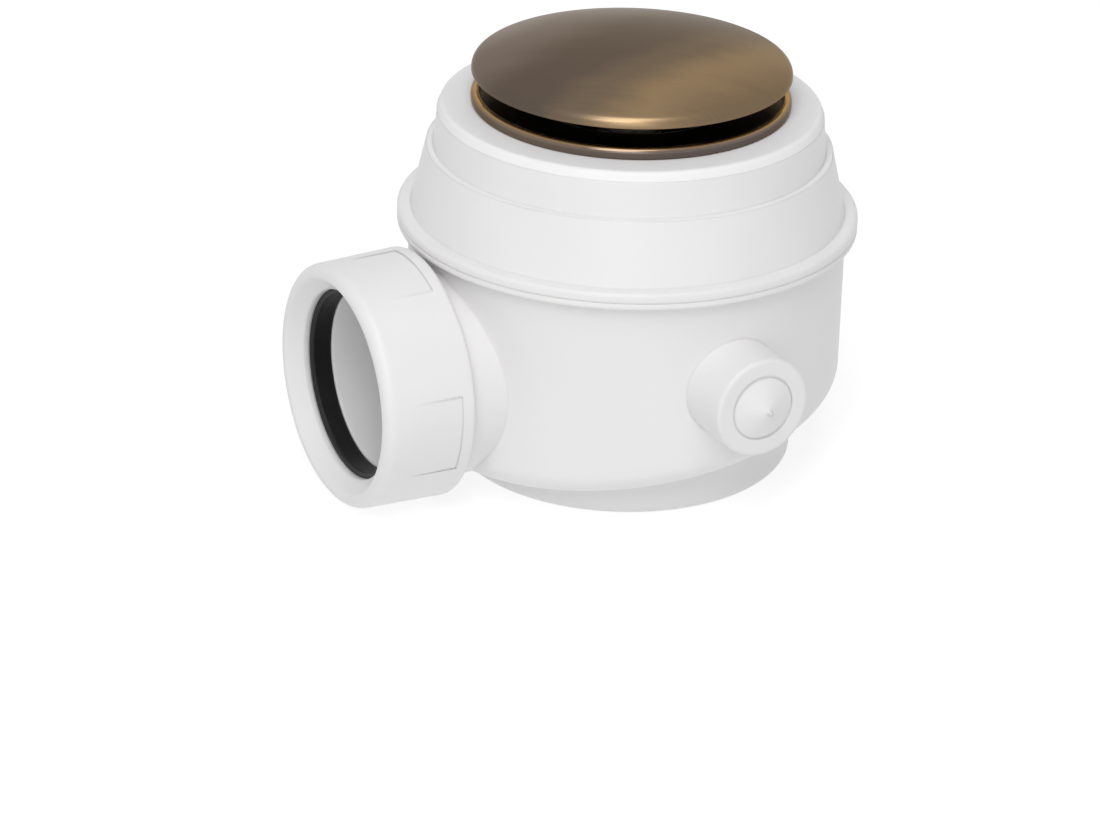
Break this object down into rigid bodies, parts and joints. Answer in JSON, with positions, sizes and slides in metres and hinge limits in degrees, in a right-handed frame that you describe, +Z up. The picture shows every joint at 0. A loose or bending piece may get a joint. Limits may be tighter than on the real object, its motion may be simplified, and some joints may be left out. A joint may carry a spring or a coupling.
{
  "type": "shower trap",
  "caption": "Low shower trap with a domed press plug, a rimmed bowl with a sloping gutter, a side outlet with a compression nut and a blind boss.",
  "frame": {"origin": "centre of the foot's underside, on the waste axis", "axes": "+Z up along the waste axis, the outlet leaves along -X and the blind boss points along -Y"},
  "size_m": [0.1264, 0.1174, 0.0994],
  "materials": {
    "white_polypropylene": "moulded, satin",
    "white_seal": "soft, matte",
    "antique_bronze": "brushed, darkened",
    "black_rubber": "moulded, slight sheen",
    "foam_gasket": "closed-cell foam",
    "natural_acetal": "moulded",
    "bright_brass": "turned",
    "spring_steel": "drawn wire"
  },
  "bodies": {
    "trap": {"bowl": "white_polypropylene", "upper_body": "white_polypropylene", "body_o_ring": "black_rubber", "tray_seal": "white_seal", "ring_gasket": "foam_gasket", "waste_ring": "antique_bronze", "dip_tube": "white_polypropylene", "dip_tube_o_ring": "black_rubber", "outlet_seal": "black_rubber", "outlet_nut": "white_polypropylene", "plug_sleeve": "natural_acetal", "lock_nut": "bright_brass", "plug_spring": "spring_steel"},
    "plug": {"cover_cap": "antique_bronze", "plug_core": "natural_acetal", "cover_gasket": "black_rubber", "gasket_retainer": "natural_acetal", "plug_spindle": "bright_brass"}
  },
  "joints": [
    {"name": "plug_press", "type": "slide", "parent": "trap", "child": "plug", "axis": [0, 0, -1], "range_m": [0, 0.0036], "stiffness_N_per_m": 300, "springref_m": -0.004, "deforming": ["plug_spring"]}
  ]
}
